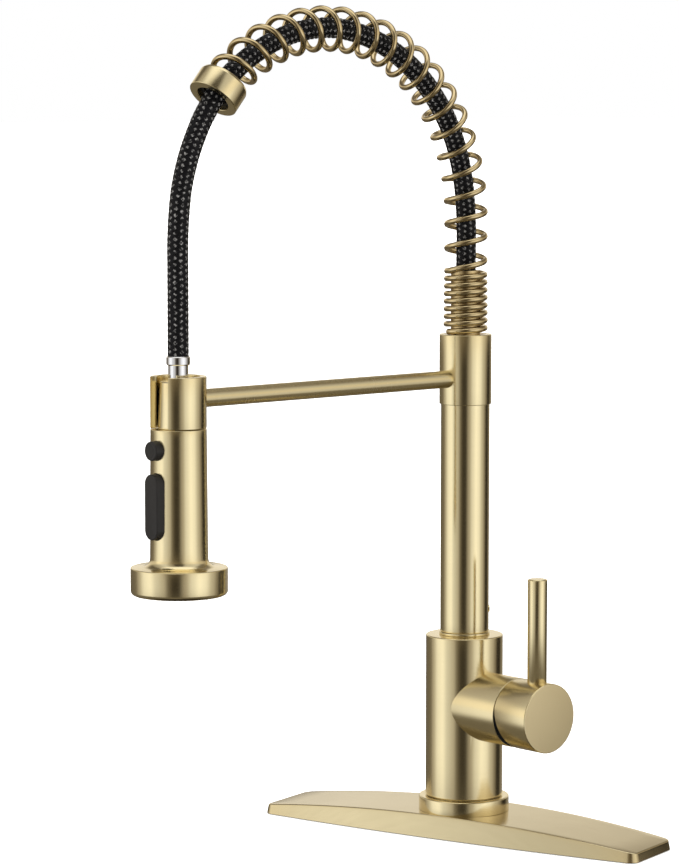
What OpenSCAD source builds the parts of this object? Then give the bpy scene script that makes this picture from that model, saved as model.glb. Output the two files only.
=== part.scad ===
// Pull down kitchen faucet with a spring arch, a docking arm and a deck plate.
// Origin: on the column's axis, in the plane of the deck. +Z is up, -Y is the
// direction of the spout and +X is the side of the handle.

/* [Deck plate] */
// Length of the deck plate
plate_length = 252; // [240:1:270]
// Width of the deck plate at its two ends
plate_end_width = 47; // [44:1:50]
// Width of the deck plate at its middle, where its long sides bow out
plate_mid_width = 58; // [57:1:66]
// Height of the deck plate's rim at its two ends
plate_end_height = 5.5; // [5:0.5:7]
// Height of the deck plate's crown at its middle
plate_crown_height = 13.7; // [13.5:0.1:15]
// Angle that the deck plate is turned by, against the handle's axis
plate_turn = 16; // [0:1:30]

/* [Body and column] */
// Diameter of the base ring
ring_diameter = 52.8; // [50:0.2:56]
// Diameter of the faucet body
body_diameter = 45; // [44:0.5:47]
// Height of the top of the body above the deck
body_top = 117.2; // [116:0.2:122]
// Diameter of the column tube
column_diameter = 28.3; // [27.8:0.1:28.8]
// Height of the top of the column above the deck
column_top = 292.9; // [290:0.1:300]
// Diameter of the sleeve round the column's upper end
sleeve_diameter = 30.2; // [29.8:0.1:31]

/* [Handle] */
// Height of the handle's axis above the deck
handle_height = 76.5; // [75:0.5:78]
// Diameter of the handle hub and of the body's side boss
hub_diameter = 40.1; // [40:0.1:42]
// Distance from the column's axis to the end of the hub
hub_end = 70.6; // [69:0.2:74]
// Diameter of the lever
lever_diameter = 11.2; // [9:0.2:12]
// Height of the lever's tip above the deck
lever_top = 156; // [130:1:180]
// Angle that the handle tilts through, from closed to fully open
lift_angle = 11; // [8:1:11]

/* [Spring and hose] */
// Reach from the column's axis to the spray head's axis
reach = 213; // [205:1:225]
// Height at which the straight spring ends and the arch starts
arch_height = 361; // [355:1:370]
// Outside diameter of the spring
spring_diameter = 25.8; // [25:0.2:26]
// Diameter of the spring's wire
wire_diameter = 3.4; // [2.8:0.1:3.6]
// Turns of the spring that lie close together above the column
close_turns = 8; // [6:1:10]
// Turns of the spring that stand apart, up to the collar
open_turns = 20.25; // [14:0.25:24]
// Outside diameter of the pull down hose
hose_diameter = 11.6; // [10:0.2:11.8]

/* [Spray head] */
// Height of the dock arm's axis above the deck
arm_height = 267.3; // [266:0.1:269]
// Diameter of the dock arm
arm_diameter = 10.1; // [8:0.1:12]
// Diameter of the spray head's handpiece at its top
head_diameter = 30.6; // [30:0.1:31]
// Diameter of the spray head's wide lower end
disc_diameter = 52.9; // [51:0.1:56]
// Height of the lower rim of the spray head above the deck
head_bottom = 161.3; // [161:0.1:162]

/* [Hidden] */
$fn = 72;

// Finishes
gold = "#c9b27c";
steel = "#b9b9b6";
brass = "#b5995a";
black = "#2b2927";
grey = "#6d6e70";
white = "#e9e6df";
red = "#7b3b30";

// Clearances between pieces
fit = 0.04;
run = 0.08;
gap = 0.4;

// Deck plate
plate_wall = 2.5;
plate_bow = (plate_mid_width - plate_end_width) / 2;
bow_radius = (plate_length * plate_length / 4 + plate_bow * plate_bow) / (2 * plate_bow);
crown_rise = plate_crown_height - plate_end_height;
crown_radius = (plate_length * plate_length / 4 + crown_rise * crown_rise) / (2 * crown_rise);
corner_radius = 6;
seat_height = plate_crown_height - 0.4;
gasket_height = 2.5;

// Base ring, body and shank
ring_top = 22;
ring_radius = ring_diameter / 2;
body_radius = body_diameter / 2;
shank_radius = 16.6;
shank_bore = 15.2;
shank_top = 34;
shank_bottom = -55;
hole_radius = 17.2;
inlet_radius = 5;
hot_depth = 13;
cold_depth = 12;
outlet_radius = 4.5;
outlet_depth = 11;
inlet_x = 3.5;
inlet_y = 8.8;
outlet_x = 9.3;
channel_radius = 6.4;
hose_shift = -8;
pivot_radius = 12;
pivot_bottom = 84.3;
clip_height = 111;
seal_heights = [92, 100];

// Handle and cartridge, measured along +X from the column's axis
hub_radius = hub_diameter / 2;
boss_end = 45;
hub_start = boss_end + gap;
cartridge_radius = 17.4;
cartridge_seat = 18;
case_start = 22;
case_end = 39;
disc_end = 26;
rotor_start = 31.2;
rotor_radius = 12;
rotor_neck_radius = 11.2;
rotor_end = 43.5;
pivot_x = 36;
stem_end = 64;
stem_width = 8;
lever_x = 60.5;

// Column
tube_radius = column_diameter / 2;
tube_bore = 12.2;
tube_bottom = body_top + 1.7;
sleeve_radius = sleeve_diameter / 2;
sleeve_bottom = 252.3;
spigot_radius = 4;
screw_angle = 49;
screw_height = 132;

// Spring arch: up the column's axis, round a half circle and down to the collar
arch_radius = reach / 2;
spring_radius = (spring_diameter - wire_diameter) / 2;
collar_start = 133.4;
collar_end = 140.4;
collar_length = arch_radius * (collar_end - collar_start) * PI / 180;
collar_middle = (collar_start + collar_end) / 2;
collar_radius = 14.3;
collar_bore = 13.6;
collar_tilt = 3;
liner_length = 6;
spring_end = 135;
close_length = close_turns * 4.4;
spring_start = column_top + wire_diameter / 2;
steps_per_turn = 12;
wire_sides = 6;

// Docking sleeve and spray head
dock_radius = 15.3;
dock_bore = 12.2;
dock_top = 280.3;
dock_slot = 15.5;
head_top = 251.9;
head_radius = head_diameter / 2;
head_foot_radius = head_radius + 0.6;
disc_radius = disc_diameter / 2;
disc_top = 176.5;
shell_bore = 13.2;
stem_radius = 5.5;
neck_radius = 9;
neck_tip_radius = 6.5;
neck_top = 277.6;
pause_height = 240.8;
pause_radius = 5.3;
rocker_height = 210.4;
rocker_length = 35.8;
rocker_width = 10.9;
rocker_pivot = 10;
button_face = 19.5;
core_radius = 7;

// Route of the hose through the body: from the swivel down to its lower end, as [x, z]
hose_low_route = [
    [0, 118.5], [0, 108], [0, 98], [-1, 88], [-2.5, 76], [-4.5, 64], [-6.5, 52], [-7.6, 42],
    [-8, 32], [-8, 16], [-8, 0], [-8, -16], [-8, -32], [-8, -48], [-8, -62]
];
// Route of the hose from the swivel up the column and round the arch to the collar, as [y, z]
hose_column_route = [
    [0, 118.5], [0, 150], [0, 185], [0, 220], [0, 255], [0, 290], [0, 325], [0, 361],
    [-4, 389], [-14, 414], [-31, 436], [-53, 453], [-79, 464], [-106, 468], [-134, 464],
    [-160, 453]
];
// Route of the hose from the collar down to the ferrule, as [y, z]
hose_drop_route = [
    [-181, 438], [-188, 429], [-195, 419], [-201, 408], [-206, 396], [-210, 382], [-212, 368],
    [-213, 352], [-213, 336], [-213, 320], [-213, 305], [-213, 291.1]
];
tail_plug_top = -62;

// ---------- helpers ----------

// A point moved from the spray head's own axis to the faucet's frame
module at_head() translate([0, -reach, 0]) children();

// A cylinder that lies along +X, from x = start to x = end
module along_x(start, end, radius, height = handle_height)
    translate([start, 0, height]) rotate([0, 90, 0]) cylinder(h = end - start, r = radius);

// A cylinder that lies along -Y, from y = -start to y = -end
module along_y(start, end, radius, height)
    translate([0, -start, height]) rotate([90, 0, 0]) cylinder(h = end - start, r = radius);

// A ring between two heights
module ring(bottom, top, outer, inner)
    difference() {
        translate([0, 0, bottom]) cylinder(h = top - bottom, r = outer);
        translate([0, 0, bottom - 1]) cylinder(h = top - bottom + 2, r = inner);
    }

// An O-ring or a round wire ring
module torus(height, radius, wire)
    translate([0, 0, height]) rotate_extrude() translate([radius, 0]) circle(r = wire, $fn = 32);

// Places its children at an angle round the arch, 0 being the top of the straight part
module on_arch(angle)
    translate([0, -arch_radius + arch_radius * cos(angle), arch_height + arch_radius * sin(angle)])
        rotate([angle, 0, 0]) children();

// A round tube swept along a route in the plane square to across, from one point to another
module sweep(points, across, first, last, radius, sides = 12) {
    function unit(v) = v / norm(v);
    function tangent(i) = unit(points[min(i + 1, len(points) - 1)] - points[max(i - 1, 0)]);
    rings = [
        for (i = [first : last])
            let (u = cross(tangent(i), across))
                for (k = [0 : sides - 1])
                    points[i] + radius * (cos(360 * k / sides) * u - sin(360 * k / sides) * across)
    ];
    end_ring = (last - first) * sides;
    polyhedron(
        concat(rings, [points[first], points[last]]),
        concat(
            [for (i = [0 : sides : end_ring - 1]) for (k = [0 : sides - 1])
                [i + k, i + sides + k, i + sides + (k + 1) % sides, i + (k + 1) % sides]],
            [for (k = [0 : sides - 1]) [len(rings), k, (k + 1) % sides]],
            [for (k = [0 : sides - 1]) [len(rings) + 1, end_ring + (k + 1) % sides, end_ring + k]]
        ),
        convexity = 10);
}

// A finer route: points on a smooth curve through the given ones
function smooth(points, parts) = concat([
    for (i = [0 : len(points) - 2])
        let (
            a = points[max(i - 1, 0)], b = points[i],
            c = points[i + 1], d = points[min(i + 2, len(points) - 1)]
        )
            for (k = [0 : parts - 1])
                let (t = k / parts)
                    0.5 * (2 * b + (c - a) * t + (2 * a - 5 * b + 4 * c - d) * t * t
                        + (3 * b - a - 3 * c + d) * t * t * t)
], [points[len(points) - 1]]);

// ---------- deck plate ----------

// The plate's outline, drawn in by inset, with bowed long sides and round corners
module plate_outline(inset) {
    bow = bow_radius - inset;
    corner = max(corner_radius - inset, 1);
    end = plate_length / 2 - inset;
    middle = plate_mid_width / 2 - inset;
    corner_x = end - corner;
    corner_y = sqrt((bow - corner) * (bow - corner) - corner_x * corner_x) - (bow - middle);
    tangent_x = corner_x * bow / (bow - corner);
    rotate(plate_turn) {
        intersection() {
            square([2 * tangent_x, 2 * middle], center = true);
            translate([0, middle - bow]) circle(r = bow, $fn = 720);
            translate([0, bow - middle]) circle(r = bow, $fn = 720);
        }
        square([2 * end, 2 * corner_y], center = true);
        for (x = [-corner_x, corner_x])
            for (y = [-corner_y, corner_y])
                translate([x, y]) circle(r = corner);
    }
}

// Everything under the plate's crowned top, lowered by drop
module under_crown(drop)
    rotate(plate_turn) translate([0, 0, plate_crown_height - crown_radius - drop])
        rotate([90, 0, 0])
            cylinder(h = 2 * plate_mid_width, r = crown_radius, center = true, $fn = 900);

module deck_plate()
    color(gold) difference() {
        intersection() {
            linear_extrude(height = plate_crown_height + 5) plate_outline(0);
            under_crown(0);
        }
        difference() {
            intersection() {
                translate([0, 0, -1])
                    linear_extrude(height = plate_crown_height + 5) plate_outline(plate_wall);
                under_crown(plate_wall);
            }
            translate([0, 0, gasket_height]) cylinder(h = plate_crown_height, r = ring_radius);
        }
        translate([0, 0, seat_height]) cylinder(h = 5, r = ring_radius + 0.15);
        translate([0, 0, -1]) cylinder(h = 30, r = hole_radius);
    }

module deck_gasket()
    color(black) difference() {
        linear_extrude(height = gasket_height) plate_outline(plate_wall + 0.15);
        translate([0, 0, -1]) cylinder(h = 10, r = hole_radius);
    }

module base_ring()
    color(gold) rotate_extrude()
        difference() {
            polygon([
                [hole_radius, seat_height], [ring_radius, seat_height],
                [ring_radius, ring_top - 0.6], [ring_radius - 0.6, ring_top],
                [hole_radius, ring_top]
            ]);
            translate([20.8, seat_height - 1]) square([2.4, 3.1]);
        }

module base_seal()
    color(black) torus(seat_height + 1, 22, 0.98);

// ---------- body and what holds it down ----------

// The body, bored for the column's pivot, the cartridge, the hose and the water
module faucet_body()
    color(gold) difference() {
        translate([0, 0, ring_top]) cylinder(h = body_top - ring_top, r = body_radius);
        // shank thread
        translate([0, 0, ring_top - 1]) cylinder(h = shank_top - ring_top + 1, r = shank_radius + fit);
        // bore of the column's pivot, with a groove for its circlip
        translate([0, 0, pivot_bottom - 0.3]) cylinder(h = 60, r = pivot_radius + run);
        translate([0, 0, clip_height]) cylinder(h = 1.4, r = pivot_radius + 1.2);
        // channel for the hose
        translate([0, 0, shank_top - 1]) linear_extrude(height = pivot_bottom - shank_top + 2) {
            circle(r = channel_radius);
            translate([hose_shift, 0]) circle(r = channel_radius);
            translate([hose_shift, -channel_radius]) square([-hose_shift, 2 * channel_radius]);
        }
        // seat of the cartridge
        along_x(cartridge_seat, boss_end + 1, cartridge_radius + fit);
        // hot and cold inlets, and their ways to the cartridge
        translate([inlet_x, inlet_y, shank_top - 1]) cylinder(h = hot_depth + 1, r = inlet_radius);
        translate([inlet_x, -inlet_y, shank_top - 1]) cylinder(h = cold_depth + 1, r = inlet_radius);
        for (y = [-inlet_y, inlet_y]) {
            translate([inlet_x + 2, y, shank_top]) cylinder(h = handle_height - shank_top, r = 2);
            translate([0, y, 0]) along_x(inlet_x + 2, cartridge_seat + 1, 2);
        }
        // mixed water outlet
        translate([outlet_x, 0, shank_top - 1]) cylinder(h = outlet_depth + 1, r = outlet_radius);
        translate([outlet_x + 2, 0, shank_top])
            cylinder(h = handle_height - 10 - shank_top, r = 2);
        translate([0, 0, -10]) along_x(outlet_x + 2, cartridge_seat + 1, 2);
    }

// The round side boss that is brazed to the body and holds the cartridge
module valve_boss()
    color(gold) difference() {
        along_x(0, boss_end, hub_radius);
        translate([0, 0, ring_top]) cylinder(h = body_top - ring_top, r = body_radius);
        along_x(cartridge_seat, boss_end + 1, cartridge_radius + fit);
    }

module mounting_shank()
    color(brass) ring(shank_bottom, shank_top - 0.2, shank_radius, shank_bore);

module rubber_washer()
    color(black) ring(-23, -20, 27, shank_radius + 0.3);

module steel_washer()
    color(steel) ring(-24.5, -23, 27, shank_radius + 0.3);

module mounting_nut()
    color(brass) difference() {
        translate([0, 0, -34.5]) cylinder(h = 10, r = 24, $fn = 6);
        translate([0, 0, -36]) cylinder(h = 13, r = shank_radius + fit);
    }

module swivel_ring()
    color(gold) ring(body_top, body_top + 1.6, 14.7, pivot_radius + run);

module pivot_circlip()
    color(steel) difference() {
        ring(clip_height + 0.1, clip_height + 1.3, pivot_radius + 1.1, pivot_radius - 0.6);
        translate([-20, -1.5, clip_height - 1]) cube([20, 3, 5]);
    }

// ---------- cartridge and handle ----------

module cartridge_base_seal()
    color(red) difference() {
        along_x(cartridge_seat + 0.1, case_start, cartridge_radius);
        for (y = [-inlet_y, inlet_y])
            translate([0, y, 0]) along_x(cartridge_seat, case_start + 1, 2);
        translate([0, 0, -10]) along_x(cartridge_seat, case_start + 1, 2);
    }

module fixed_ceramic_disc()
    color(white) difference() {
        along_x(case_start, disc_end - 0.1, 14);
        for (y = [-inlet_y, inlet_y])
            translate([0, y, 0]) along_x(case_start - 1, disc_end + 1, 2);
        translate([0, 0, -10]) along_x(case_start - 1, disc_end + 1, 2);
    }

module cartridge_case()
    color(white) difference() {
        along_x(case_start, case_end, cartridge_radius);
        along_x(case_start - 1, disc_end, 14 + fit);
        along_x(disc_end - 1, case_end + 1, rotor_radius + run);
    }

module cartridge_nut()
    color(brass) difference() {
        along_x(case_end + 0.1, boss_end - 0.2, cartridge_radius);
        along_x(case_end - 1, boss_end + 1, rotor_neck_radius + run);
    }

module moving_ceramic_disc()
    color(white) difference() {
        along_x(disc_end, rotor_start - 0.2, 10.4);
        translate([rotor_start - 4.2, -3, handle_height - 3.2]) cube([5, 6, 6.4]);
    }

module cartridge_rotor()
    color(grey) difference() {
        union() {
            along_x(rotor_start, case_end, rotor_radius);
            along_x(case_end - 1, rotor_end, rotor_neck_radius);
        }
        translate([rotor_start - 1, -4.2, handle_height - 6]) cube([20, 8.4, 12]);
        translate([pivot_x, 0, handle_height])
            rotate([90, 0, 0]) cylinder(h = 40, r = 1.5 + fit, center = true);
    }

module cartridge_pin()
    color(steel) translate([pivot_x, 0, handle_height])
        rotate([90, 0, 0]) cylinder(h = 21, r = 1.5, center = true);

module cartridge_stem()
    color(steel) difference() {
        union() {
            translate([32.5, -stem_width / 2, handle_height - stem_width / 2])
                cube([stem_end - 32.5, stem_width, stem_width]);
            along_x(28.4, 33, 2.6);
        }
        translate([pivot_x, 0, handle_height])
            rotate([90, 0, 0]) cylinder(h = 20, r = 1.5 + run, center = true);
        translate([lever_x, 0, handle_height - 6]) cylinder(h = 4, r = 2 + fit);
    }

// The cap over the cartridge; its lower inner face slopes, so that the handle can tilt
module handle_hub()
    color(gold) difference() {
        along_x(hub_start, hub_end, hub_radius);
        along_x(hub_start - 1, 56, 16.8);
        translate([50, -stem_width / 2 - fit, handle_height - stem_width / 2 - fit])
            cube([stem_end + 0.2 - 50, stem_width + 2 * fit, stem_width + 2 * fit]);
        translate([hub_start, 0, handle_height]) rotate([0, -lift_angle - 1, 0])
            translate([-20, -30, -40]) cube([20, 60, 40]);
        translate([lever_x, 0, handle_height + 6]) cylinder(h = 30, r = 4 + fit);
        translate([lever_x, 0, handle_height - 30]) cylinder(h = 27, r = 2 + fit);
    }

module handle_lever()
    color(gold) {
        translate([lever_x, 0, handle_height + 6.2]) cylinder(h = 20, r = 4);
        difference() {
            union() {
                translate([lever_x, 0, handle_height])
                    cylinder(h = lever_top - 0.5 - handle_height, r = lever_diameter / 2);
                translate([lever_x, 0, lever_top - 0.5])
                    cylinder(h = 0.5, r1 = lever_diameter / 2, r2 = lever_diameter / 2 - 0.5);
            }
            along_x(40, 90, hub_radius + 0.02);
            translate([0, -50, handle_height - 60]) cube([100, 100, 60]);
        }
    }

module handle_set_screw()
    color(steel) difference() {
        translate([lever_x, 0, handle_height - 11]) cylinder(h = 7 + 0.4, r = 2);
        translate([lever_x, 0, handle_height - 12]) cylinder(h = 3, r = 1.1, $fn = 6);
    }

// ---------- column ----------

module column_tube()
    color(gold) difference() {
        ring(tube_bottom, column_top, tube_radius, tube_bore);
        along_y(0, 30, spigot_radius + fit, arm_height);
        rotate(screw_angle) along_x(5, 30, 2 + fit, screw_height);
    }

module column_sleeve()
    color(gold) difference() {
        ring(sleeve_bottom, column_top, sleeve_radius, tube_radius + fit);
        along_y(0, 30, spigot_radius + fit, arm_height);
    }

module pivot_nipple()
    color(brass) difference() {
        union() {
            ring(pivot_bottom, tube_bottom, pivot_radius, 8);
            ring(tube_bottom, 150, tube_bore - fit, 8);
        }
        for (z = seal_heights)
            ring(z - 1.1, z + 1.1, 14, 10.2);
        ring(clip_height - 0.1, clip_height + 1.5, 14, pivot_radius - 0.8);
        rotate(screw_angle) along_x(10.5, 30, 2 + fit, screw_height);
    }

module pivot_seals()
    color(black) for (z = seal_heights)
        torus(z, 11.14, 0.92);

module column_set_screw()
    color(gold) rotate(screw_angle) difference() {
        along_x(10.6, tube_radius + 0.5, 2, screw_height);
        translate([tube_radius - 1, 0, screw_height]) rotate([0, 90, 0])
            cylinder(h = 3, r = 1.1, $fn = 6);
    }

// The plug that closes the column, with a spigot that holds the spring's close turns upright
module spring_seat()
    color(brass) difference() {
        union() {
            translate([0, 0, 280]) cylinder(h = column_top - 280, r = tube_bore - fit);
            translate([0, 0, 281]) cylinder(h = spring_start + close_length - 281, r = 8.6);
        }
        translate([0, 0, 270]) cylinder(h = 70, r = 6.6);
    }

// ---------- spring arch ----------

// Centre line of the arch: the point and the lean at a length along it
function arch_point(s) =
    let (straight = arch_height - spring_start, angle = (s - straight) / arch_radius * 180 / PI)
        s < straight
            ? [[0, 0, spring_start + s], 0]
            : [[0, -arch_radius + arch_radius * cos(angle), arch_height + arch_radius * sin(angle)],
               angle];

// Length along the centre line after so many turns: close turns first, then open ones
function spring_length(turns) =
    turns < close_turns
        ? turns * close_length / close_turns
        : close_length + (turns - close_turns) * open_pitch;

arch_length = arch_height - spring_start + arch_radius * spring_end * PI / 180;
open_pitch = (arch_length - close_length) / open_turns;
spring_steps = (close_turns + open_turns) * steps_per_turn;
spring_phase = 255;

function spring_point(i) =
    let (
        turns = i / steps_per_turn, p = arch_point(spring_length(turns)),
        a = spring_phase + 360 * turns, lean = p[1]
    )
        p[0] + spring_radius * [cos(a), sin(a) * cos(lean), sin(a) * sin(lean)];

module arch_spring() {
    points = [for (i = [0 : spring_steps]) spring_point(i)];
    function unit(v) = v / norm(v);
    function tangent(i) = unit(points[min(i + 1, spring_steps)] - points[max(i - 1, 0)]);
    function centre(i) = arch_point(spring_length(i / steps_per_turn))[0];
    rings = [
        for (i = [0 : spring_steps])
            let (
                t = tangent(i), out = unit(points[i] - centre(i)),
                w = unit(cross(t, out)), u = cross(w, t)
            )
                for (k = [0 : wire_sides - 1])
                    points[i] + wire_diameter / 2
                        * (cos(360 * k / wire_sides) * u + sin(360 * k / wire_sides) * w)
    ];
    end_ring = spring_steps * wire_sides;
    color(gold) polyhedron(
        concat(rings, [points[0], points[spring_steps]]),
        concat(
            [for (i = [0 : spring_steps - 1]) for (k = [0 : wire_sides - 1])
                [i * wire_sides + k, (i + 1) * wire_sides + k,
                 (i + 1) * wire_sides + (k + 1) % wire_sides]],
            [for (i = [0 : spring_steps - 1]) for (k = [0 : wire_sides - 1])
                [i * wire_sides + k, (i + 1) * wire_sides + (k + 1) % wire_sides,
                 i * wire_sides + (k + 1) % wire_sides]],
            [for (k = [0 : wire_sides - 1]) [len(rings), k, (k + 1) % wire_sides]],
            [for (k = [0 : wire_sides - 1])
                [len(rings) + 1, end_ring + (k + 1) % wire_sides, end_ring + k]]
        ),
        convexity = 20);
}

// The cup over the spring's end, with the hose coming out of the hole in its floor
module spring_collar()
    color(gold) on_arch(collar_middle) rotate([collar_tilt, 0, 0]) difference() {
        union() {
            translate([0, 0, -collar_length / 2])
                cylinder(h = 0.5, r1 = collar_radius - 0.5, r2 = collar_radius);
            translate([0, 0, 0.5 - collar_length / 2])
                cylinder(h = collar_length - 0.5, r = collar_radius);
        }
        translate([0, 0, -collar_length]) cylinder(h = collar_length * 1.5 - liner_length, r = collar_bore);
        translate([0, 0, -collar_length]) cylinder(h = 3 * collar_length, r = 9.5 + fit);
    }

module collar_liner()
    color(black) on_arch(collar_middle) rotate([collar_tilt, 0, 0])
        ring(collar_length / 2 - liner_length, collar_length / 2 - 3, 9.5, 7.4);

// ---------- docking arm ----------

module dock_arm()
    color(gold) {
        difference() {
            along_y(8, reach - 8, arm_diameter / 2, arm_height);
            translate([0, 0, 200]) cylinder(h = 150, r = sleeve_radius + 0.02);
            at_head() translate([0, 0, 200]) cylinder(h = 150, r = dock_radius + 0.02);
            along_y(reach - 40, reach, 2.5 + fit, arm_height);
        }
        along_y(tube_bore + 0.2, 25, spigot_radius, arm_height);
    }

// The open sleeve that the spray head hangs in; the slot lets the hose through
module dock_sleeve()
    color(gold) at_head() difference() {
        ring(sleeve_bottom, dock_top, dock_radius, dock_bore);
        translate([-dock_slot / 2, -30, sleeve_bottom - 1]) cube([dock_slot, 30, 40]);
        translate([0, 0, arm_height]) rotate([-90, 0, 0]) cylinder(h = 30, r = 2.5 + fit);
        translate([0, dock_bore - 0.6, arm_height]) rotate([-90, 0, 0])
            cylinder(h = 2, r1 = 4.6, r2 = 2.6);
    }

module dock_screw()
    color(steel) at_head() translate([0, 0, arm_height]) rotate([-90, 0, 0]) {
        translate([0, 0, dock_bore - 0.1]) cylinder(h = 1.4, r1 = 4.0, r2 = 2.5);
        translate([0, 0, dock_bore + 1]) cylinder(h = 14, r = 2.5);
    }

// ---------- hose ----------

module hose_base()
    color(black) sweep(
        [for (p = hose_low_route) [p[0], 0, p[1]]], [0, 1, 0],
        0, len(hose_low_route) - 1, hose_diameter / 2);

// The hose from the swivel to the ferrule, with the point at the collar where its parts meet
hose_route = smooth(
    [for (p = concat(hose_column_route, hose_drop_route)) [0, p[0], p[1]]], 2);
hose_joint = 2 * len(hose_column_route);

module hose_column()
    color(black) sweep(hose_route, [1, 0, 0], 0, hose_joint, hose_diameter / 2);

module hose_drop()
    color(black) sweep(
        hose_route, [1, 0, 0], hose_joint, len(hose_route) - 1, hose_diameter / 2);

// The click-in plug at the hose's lower end, below the deck
module hose_tail_plug()
    color(steel) translate([hose_shift, 0, 0]) {
        ring(tail_plug_top - 12, tail_plug_top, 6.6, 3.5);
        ring(tail_plug_top - 26, tail_plug_top - 12, 4.8, 3);
    }

module hose_ferrule()
    color(steel) at_head() rotate_extrude()
        polygon([
            [4, 286.2], [6.1, 286.2], [6.5, 286.6], [6.5, 290.7], [6.1, 291.1], [4, 291.1]
        ]);

module hose_stem()
    color(steel) at_head() difference() {
        translate([0, 0, 266]) cylinder(h = 20.2, r = stem_radius);
        translate([0, 0, 260]) cylinder(h = 40, r = 3.2);
        ring(268, 270, 8, 4.4);
        ring(274, 275.6, 8, 4.9);
    }

module hose_seal()
    color(black) at_head() torus(269, 4.96 + 0.02, 0.56);

// ---------- spray head ----------

module head_neck()
    color(gold) at_head() difference() {
        union() {
            translate([0, 0, 243]) cylinder(h = 10, r = neck_tip_radius);
            translate([0, 0, 246.6]) cylinder(h = 6, r = neck_radius);
            translate([0, 0, head_top + 0.05])
                cylinder(h = neck_top - head_top - 0.05, r1 = 11.3, r2 = 10.3);
        }
        translate([0, 0, 262]) cylinder(h = 30, r = stem_radius + run);
        translate([0, 0, 240]) cylinder(h = 30, r = 4);
        ring(274, 275.6, 6.3, 1);
    }

module swivel_clip()
    color(steel) at_head() difference() {
        ring(274.2, 275.4, 6.2, 5.0);
        translate([-1.5, 0, 270]) cube([3, 20, 10]);
    }

module filter_screen()
    color(grey) at_head() translate([0, 0, 262.05]) cylinder(h = 1.4, r = stem_radius - 0.1);

// The outside of the handpiece: a long grip that flares into a wide disc
function flare() = [
    for (a = [0 : 15 : 90])
        [head_foot_radius + 5 - 5 * cos(a), disc_top + 5.3 - 5 * sin(a)]
];

module head_shell()
    color(gold) at_head() difference() {
        rotate_extrude() polygon(concat(
            [[0, head_bottom], [disc_radius - 2.4, head_bottom]],
            [for (a = [-75 : 15 : 0])
                [disc_radius - 2.4 + 2.4 * cos(a), head_bottom + 2.4 + 2.4 * sin(a)]],
            [[disc_radius, disc_top - 0.3], [disc_radius - 0.3, disc_top]],
            [for (i = [6 : -1 : 0]) flare()[i]],
            [[head_radius, head_top - 0.4], [head_radius - 0.4, head_top], [0, head_top]]
        ));
        translate([0, 0, 181]) cylinder(h = head_top - 2.4 - 181, r = shell_bore);
        translate([0, 0, head_bottom - 1]) cylinder(h = 13.8, r = 24.2);
        translate([0, 0, 170]) cylinder(h = 12, r = shell_bore);
        translate([0, 0, 240]) cylinder(h = 20, r = neck_radius + fit);
        along_y(5, 30, pause_radius + run, pause_height);
        rocker_form(5, 30, rocker_length + 0.9, rocker_width + 0.3);
    }

// A bar with round ends that stands along Z and reaches from y = -start to y = -end
module rocker_form(start, end, length, width)
    translate([0, -start, rocker_height]) rotate([90, 0, 0]) linear_extrude(height = end - start) {
        square([width, length - width], center = true);
        for (z = [-1, 1])
            translate([0, z * (length - width) / 2]) circle(r = width / 2);
    }

module waterway_core()
    color(white) at_head() difference() {
        union() {
            translate([0, 0, 181.2]) cylinder(h = 242.8 - 181.2, r = core_radius);
            for (x = [-6.9, 5.7])
                translate([x, -rocker_pivot - 1.2, rocker_height - 2.5]) cube([1.2, 8, 5]);
        }
        translate([0, 0, 180]) cylinder(h = 64, r = 3.5);
        translate([0, -rocker_pivot, rocker_height]) rotate([0, 90, 0])
            cylinder(h = 30, r = 0.9 + fit, center = true);
    }

module diverter_spool()
    color(red) at_head() translate([0, 0, rocker_height - 14]) cylinder(h = 28, r = 3.4);

module rocker_pin()
    color(steel) at_head() translate([0, -rocker_pivot, rocker_height]) rotate([0, 90, 0])
        cylinder(h = 14.2, r = 0.9, center = true);

module pause_button()
    color(black) at_head() {
        along_y(9.6, button_face - 0.5, pause_radius, pause_height);
        translate([0, -button_face + 0.5, pause_height]) rotate([90, 0, 0])
            cylinder(h = 0.5, r1 = pause_radius, r2 = pause_radius - 0.5);
    }

module rocker_button()
    color(black) at_head() difference() {
        union() {
            rocker_form(8.6, button_face - 0.6, rocker_length, rocker_width);
            rocker_form(button_face - 1, button_face, rocker_length - 1.2, rocker_width - 1.2);
        }
        translate([0, -rocker_pivot, rocker_height]) rotate([0, 90, 0])
            cylinder(h = 30, r = 0.9 + run, center = true);
    }

// Places its children at every nozzle of the spray face
module at_nozzles()
    for (circle = [[12, 12], [16, 18], [20, 24]])
        for (i = [0 : circle[1] - 1])
            rotate(360 * i / circle[1]) translate([circle[0], 0, 0]) children();

module spray_housing()
    color(white) at_head() difference() {
        union() {
            translate([0, 0, 166.6]) cylinder(h = 7.2, r = 23.8);
            translate([0, 0, 173]) cylinder(h = 8, r = 10);
        }
        translate([0, 0, 160]) cylinder(h = 12.2, r = 8 + fit);
        translate([0, 0, 160]) cylinder(h = 30, r = 3.5);
    }

module nozzle_pad()
    color(grey) at_head() difference() {
        union() {
            translate([0, 0, 164.9]) cylinder(h = 1.6, r = 22.5);
            at_nozzles() translate([0, 0, 161.5]) cylinder(h = 4, r1 = 0.75, r2 = 1.1, $fn = 16);
        }
        translate([0, 0, 160]) cylinder(h = 10, r = 8 + fit);
    }

module spray_face()
    color(black) at_head() difference() {
        translate([0, 0, 162.2]) cylinder(h = 2.6, r = 24.1);
        translate([0, 0, 160]) cylinder(h = 10, r = 8 + fit);
        at_nozzles() translate([0, 0, 160]) cylinder(h = 6, r = 1.15, $fn = 16);
    }

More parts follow.
